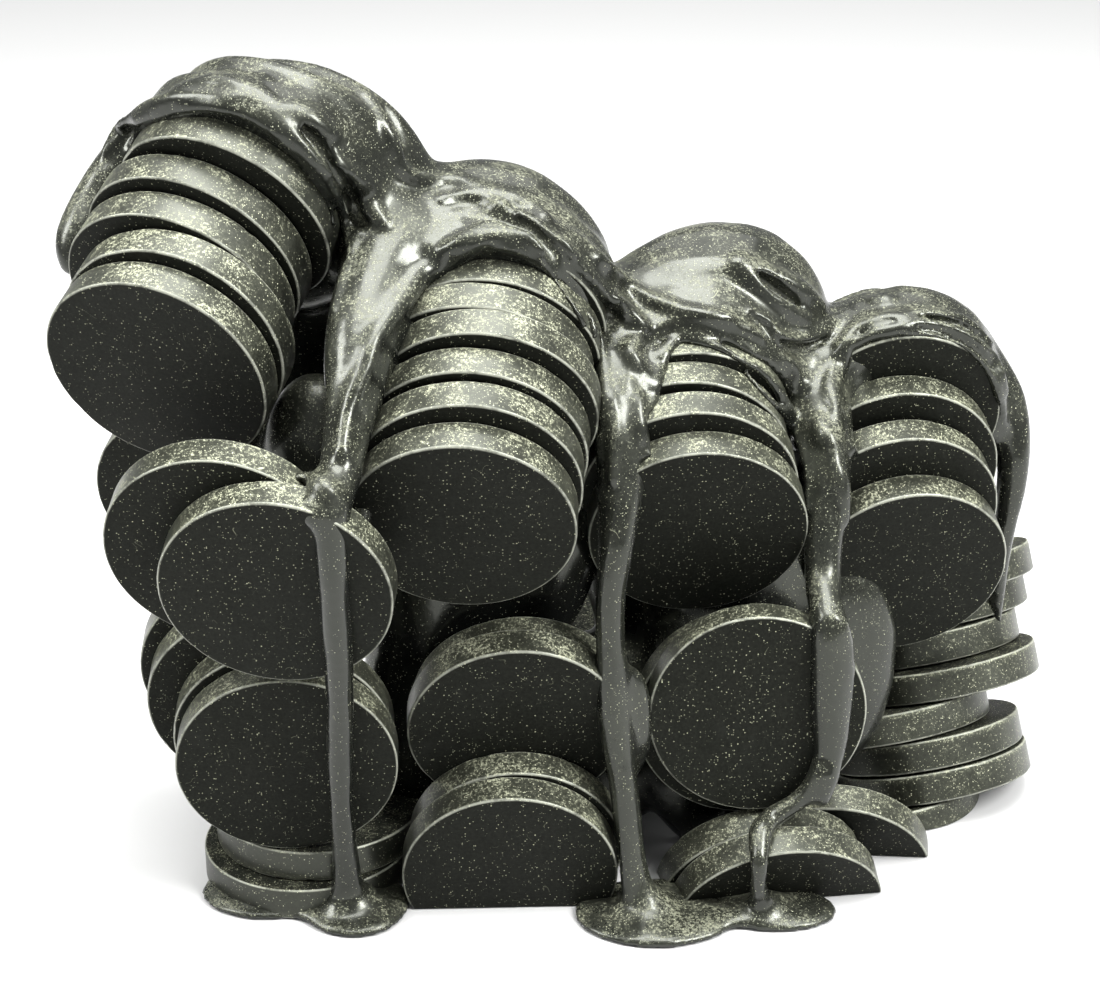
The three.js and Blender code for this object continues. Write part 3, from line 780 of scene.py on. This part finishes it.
# third mantle
ridge([(742, 262, .5), (762, 272, .9), (786, 284, 1.0), (806, 296, .8), (818, 306, .5)], 1.6)
ridge([(736, 266, .5), (758, 284, .9), (782, 304, .9), (804, 322, .6)], 1.6)
groove([(756, 276, .4), (776, 290, .7), (796, 305, .5)], 1.2)
ridge([(752, 312, .4), (766, 322, .7), (776, 334, .7), (788, 341, .7), (804, 339, .7), (824, 330, .6), (846, 314, .4)], 0.9)
groove([(754, 318, .3), (768, 330, .5), (780, 345, .6), (800, 350, .6), (822, 340, .4)], 0.9)
ridge([(672, 344, .5), (688, 335, .75), (705, 334, .75), (730, 341, .6), (750, 352, .65), (766, 361, .65), (780, 374, .5),
       (788, 388, .4)])
ridge([(690, 342, .4), (715, 347, .5), (740, 360, .5), (758, 370, .5), (770, 384, .5), (782, 402, .5), (792, 424, .5),
       (798, 448, .4)], 0.7)
ridge([(744, 372, .4), (758, 388, .55), (774, 405, .6), (788, 420, .55), (797, 432, .4)], 0.6)
ridge([(757, 368, .35), (776, 386, .4), (790, 410, .45), (800, 440, .45), (807, 475, .4), (808, 510, .3)], 0.6)
ridge([(818, 420, .5), (826, 436, 1.0), (832, 448, .7)], 1.1)
ridge([(833, 458, .5), (838, 476, .8), (842, 498, .7), (845, 520, .4)], 0.8)
# fourth mantle: parallel lips on the arch
ridge([(840, 356, .5), (846, 342, .6), (856, 331, .65), (870, 325, .65), (888, 320, .7), (905, 319, .7), (922, 315, .75),
       (942, 317, .7), (960, 320, .65), (976, 331, .6), (989, 344, .5)])
ridge([(856, 344, .4), (872, 335, .5), (892, 331, .5), (916, 324, .55), (940, 325, .5), (960, 332, .5), (980, 345, .5),
       (996, 361, .45), (1004, 392, .35)], 0.6)
ridge([(905, 333, .35), (930, 334, .4), (955, 342, .4), (975, 355, .4), (990, 375, .4), (1000, 400, .35),
       (1005, 430, .3)], 0.5)
groove([(852, 340, .2), (870, 330, .28), (890, 325.5, .3), (918, 319.5, .3), (942, 321, .3), (962, 326, .3), (980, 338, .28)], 0.4)
groove([(905, 329, .2), (932, 330, .28), (957, 337, .28), (977, 350, .25), (993, 368, .22)], 0.4)
ridge([(846, 356, .4), (839, 380, .5), (835, 402, .5), (838, 440, .45), (842, 470, .4), (846, 500, .4)], 0.6)
ridge([(834, 366, .4), (829, 384, .55), (830, 400, .4)], 0.8)
ridge([(850, 448, .5), (852, 456, .6)], 0.8)
ridge([(852, 500, .5), (858, 505, .6), (862, 503, .4)], 0.8)
ridge([(872, 300, .3), (884, 301, .6), (892, 300, .3)], 0.9)
ridge([(998, 338, .6), (1005, 343, 1.0), (1009, 349, .7)], 0.8)
# runs and drops on the small stacks and lower discs
ridge([(972, 622, .4), (973, 645, .5), (971, 668, .45)], 0.6)
ridge([(1015, 560, .5), (1022, 590, .55), (1030, 625, .5), (1034, 660, .4)], 0.8)
ridge([(300, 478, .6), (318, 484, 1.0), (328, 492, .8)], 1.4)


def value_noise(scale, seed, stretch=(1, 1, 1)):
    rng = np.random.default_rng(seed)
    size = [int((HI[k] - LO[k]) / (scale * stretch[k])) + 3 for k in range(3)]
    out = rng.random(size).astype(np.float32)
    for k in range(3):
        u = (VOX * np.arange(DIM[k])) / (scale * stretch[k])
        i = np.floor(u).astype(int)
        f = (u - i).astype(np.float32)
        f = f * f * (3 - 2 * f)
        a = np.take(out, i, axis=k)
        b = np.take(out, i + 1, axis=k)
        sh = [1, 1, 1]
        sh[k] = len(u)
        f = f.reshape(sh)
        out = a + (b - a) * f
    return out - 0.5


F += 0.55 * value_noise(6.5, 11, (1, 1, 1.4)) + 0.26 * value_noise(2.6, 12, (1, 1, 1.8))
# ground flat
zz = (LO[2] + VOX * np.arange(DIM[2])).reshape(1, 1, -1)
F = np.maximum(F, (0.02 - zz).astype(np.float32))
# room for the two discs that lift off, all along their way out
OUT = np.array([-0.815075, -0.570722, 0.099504])
for k in (1, 2):
    for q in np.arange(0.0, 30.1, 1.5):
        row = D('a', k)
        c = np.array(row[1:4]) + OUT * q
        row = (row[0], c[0], c[1], c[2], row[4], row[5])
        sl, X, Y, Z = block(c - 17, c + 17)
        if min(F[sl].shape) == 0:
            continue
        F[sl] = np.maximum(F[sl], -(sd_disc(X, Y, Z, row, 0.35)).astype(np.float32))


def surface_nets(F, lo, h):
    S = F < 0
    nx, ny, nz = F.shape
    cnt = np.zeros((nx - 1, ny - 1, nz - 1), np.int8)
    corners = [(i, j, k) for i in (0, 1) for j in (0, 1) for k in (0, 1)]
    for (i, j, k) in corners:
        cnt += S[i:nx - 1 + i, j:ny - 1 + j, k:nz - 1 + k]
    act = (cnt > 0) & (cnt < 8)
    I = np.argwhere(act)
    idx = -np.ones(act.shape, np.int64)
    idx[act] = np.arange(len(I))
    acc = np.zeros((len(I), 3))
    num = np.zeros(len(I))
    edges = []
    for (i, j, k) in corners:
        if i == 0:
            edges.append(((i, j, k), (1, j, k)))
        if j == 0:
            edges.append(((i, j, k), (i, 1, k)))
        if k == 0:
            edges.append(((i, j, k), (i, j, 1)))
    for a, b in edges:
        fa = F[I[:, 0] + a[0], I[:, 1] + a[1], I[:, 2] + a[2]]
        fb = F[I[:, 0] + b[0], I[:, 1] + b[1], I[:, 2] + b[2]]
        cr = (fa < 0) != (fb < 0)
        t = np.where(cr, fa / np.where(cr, fa - fb, 1), 0)
        p = np.array(a)[None] + t[:, None] * (np.array(b) - np.array(a))[None]
        acc += p * cr[:, None]
        num += cr
    V = (I + acc / num[:, None]) * h + lo
    quads = []
    for ax in range(3):
        u, v = (ax + 1) % 3, (ax + 2) % 3
        s0 = [slice(None)] * 3
        s1 = [slice(None)] * 3
        s0[ax] = slice(0, -1)
        s1[ax] = slice(1, None)
        ch = S[tuple(s0)] != S[tuple(s1)]
        E = np.argwhere(ch)
        ok = (E[:, u] > 0) & (E[:, v] > 0) & (E[:, u] < F.shape[u] - 1) & (E[:, v] < F.shape[v] - 1)
        E = E[ok]
        inside = S[E[:, 0], E[:, 1], E[:, 2]]
        q = []
        for du, dv in ((-1, -1), (0, -1), (0, 0), (-1, 0)):
            C = E.copy()
            C[:, u] += du
            C[:, v] += dv
            q.append(idx[C[:, 0], C[:, 1], C[:, 2]])
        q = np.stack(q, 1)
        q[~inside] = q[~inside][:, ::-1]
        quads.append(q)
    return V, np.concatenate(quads)


V, Q = surface_nets(F, LO, VOX)
# keep the one connected body
par = np.arange(len(V))
for _ in range(900):
    m = par[Q].min(1)
    new = par.copy()
    np.minimum.at(new, Q.ravel(), np.repeat(m, 4))
    new = new[new]
    new = new[new]
    if (new == par).all():
        break
    par = new
lab, cnts = np.unique(par[Q[:, 0]], return_counts=True)
keepl = lab[np.argmax(cnts)]
Q = Q[par[Q[:, 0]] == keepl]
used = np.unique(Q)
remap = -np.ones(len(V), np.int64)
remap[used] = np.arange(len(used))
V, Q = V[used], remap[Q]


def relax(V, Q, steps, w):
    E = np.concatenate([Q[:, [0, 1]], Q[:, [1, 2]], Q[:, [2, 3]], Q[:, [3, 0]]])
    for _ in range(steps):
        S = np.zeros_like(V)
        n = np.zeros(len(V))
        for ax in range(3):
            S[:, ax] = np.bincount(E[:, 0], V[E[:, 1], ax], len(V)) + np.bincount(E[:, 1], V[E[:, 0], ax], len(V))
        n = np.bincount(E[:, 0], minlength=len(V)) + np.bincount(E[:, 1], minlength=len(V))
        V = V + w * (S / n[:, None] - V)
    V[:, 2] = np.maximum(V[:, 2], 0.0)
    return V


V = relax(V, Q, 2, 0.45)
# shelter: how far each spot lies below its smoothed surroundings
W0 = relax(V.copy(), Q, 14, 0.6)
n4 = np.cross(V[Q[:, 2]] - V[Q[:, 0]], V[Q[:, 3]] - V[Q[:, 1]])
nv = np.zeros_like(V)
for ax in range(3):
    for q in range(4):
        nv[:, ax] += np.bincount(Q[:, q], n4[:, ax], len(V))
nv /= np.linalg.norm(nv, axis=1, keepdims=True) + 1e-12
crease = np.clip(((W0 - V) * nv).sum(1) * 3.2, 0.0, 1.0)
me = bpy.data.meshes.new("fine_pour")
W = (V - np.array([CX, CY, 0.0])) * MM
me.vertices.add(len(W))
me.vertices.foreach_set("co", W.ravel())
me.loops.add(len(Q) * 4)
me.loops.foreach_set("vertex_index", Q.ravel())
me.polygons.add(len(Q))
me.polygons.foreach_set("loop_start", np.arange(len(Q)) * 4)
me.polygons.foreach_set("loop_total", np.full(len(Q), 4))
me.update(calc_edges=True)
me.validate()
me.polygons.foreach_set("use_smooth", np.ones(len(me.polygons), bool))
at = me.attributes.new("crease", 'FLOAT', 'POINT')
at.data.foreach_set("value", crease.astype(np.float32))
me.materials.append(MAT_POUR)
pour = bpy.data.objects.new("fine_pour", me)
bpy.context.scene.collection.objects.link(pour)
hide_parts("poured_coating")
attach(pour, BODY["poured_coating"])
print("pour faces", len(Q))

# ------------------------------------------------------------------ floor, lights
fm = bpy.data.meshes.new("floor")
s = 3.0
fm.from_pydata([(-s, -s, -0.0002), (s, -s, -0.0002), (s, s, -0.0002), (-s, s, -0.0002)], [], [(0, 1, 2, 3)])
floor = bpy.data.objects.new("floor", fm)
bpy.context.scene.collection.objects.link(floor)
mf = bpy.data.materials.new("pale_floor")
nt = NT(mf)
b = nt.n('ShaderNodeBsdfPrincipled')
b.inputs['Base Color'].default_value = (0.52, 0.52, 0.515, 1)
b.inputs['Roughness'].default_value = 0.85
o = nt.n('ShaderNodeOutputMaterial')
nt.link(b.outputs[0], o.inputs[0])
fm.materials.append(mf)

world = bpy.data.worlds.new("studio")
bpy.context.scene.world = world
world.use_nodes = True
bg = world.node_tree.nodes["Background"]
bg.inputs[0].default_value = (0.96, 0.98, 1.0, 1)
bg.inputs[1].default_value = 0.34
bpy.context.scene.view_settings.view_transform = 'Standard'


def area(name, loc, target, size, power, size_y=None, color=(1, 1, 1)):
    ld = bpy.data.lights.new(name, 'AREA')
    ld.energy = power
    ld.color = color
    ld.shape = 'RECTANGLE' if size_y else 'SQUARE'
    ld.size = size
    if size_y:
        ld.size_y = size_y
    ob = bpy.data.objects.new(name, ld)
    ob.location = loc
    d = Vector(target) - Vector(loc)
    ob.rotation_euler = d.to_track_quat('-Z', 'Y').to_euler()
    bpy.context.scene.collection.objects.link(ob)
    return ob


area("top_softbox", (0.0, -0.03, 0.63), (0, 0.0, 0.04), 0.40, 6.6, 0.40)
area("overhead_wash", (0.0, 0.50, 1.9), (0, 0.5, 0), 2.6, 45.0, 2.6)
area("right_softbox", (0.34, -0.22, 0.40), (0, 0, 0.05), 0.16, 5.0, 0.26)
area("left_softbox", (-0.40, -0.10, 0.34), (0, 0, 0.05), 0.14, 2.2, 0.26)
